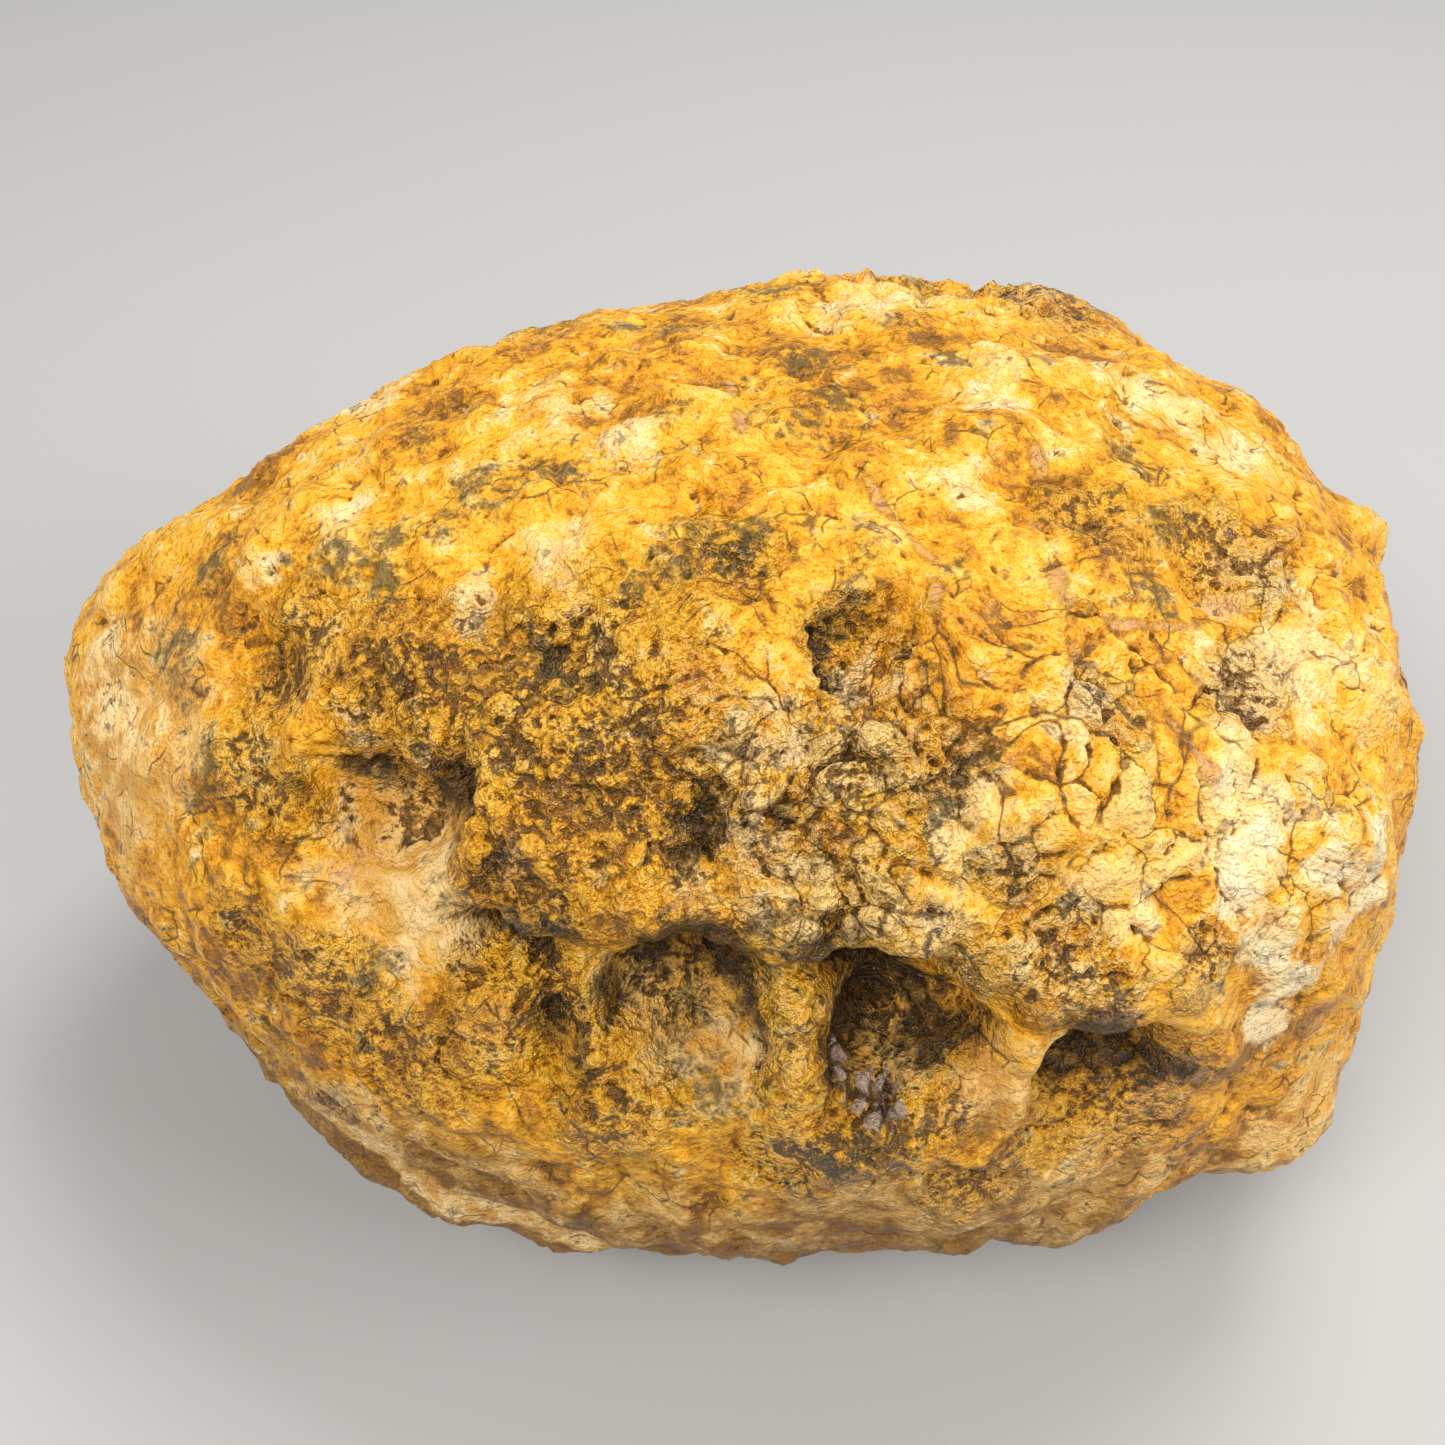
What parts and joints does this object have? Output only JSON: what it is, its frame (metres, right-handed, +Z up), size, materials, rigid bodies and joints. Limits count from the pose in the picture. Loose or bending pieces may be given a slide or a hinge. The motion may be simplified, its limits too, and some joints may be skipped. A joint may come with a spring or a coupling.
{
  "type": "unopened geode",
  "caption": "Whole uncut geode nodule with a golden rind, a row of scooped hollows along its front and a worn flat it rests on.",
  "frame": {"origin": "on the ground, under the middle of the stone", "axes": "+X along the stone towards its blunt right end, -Y towards its hollowed front, +Z up"},
  "size_m": [0.1576, 0.1224, 0.0961],
  "materials": {
    "rind": "wet, knobbly, iron-stained chalcedony rind"
  },
  "bodies": {
    "root": {"geode": "rind"}
  },
  "joints": []
}
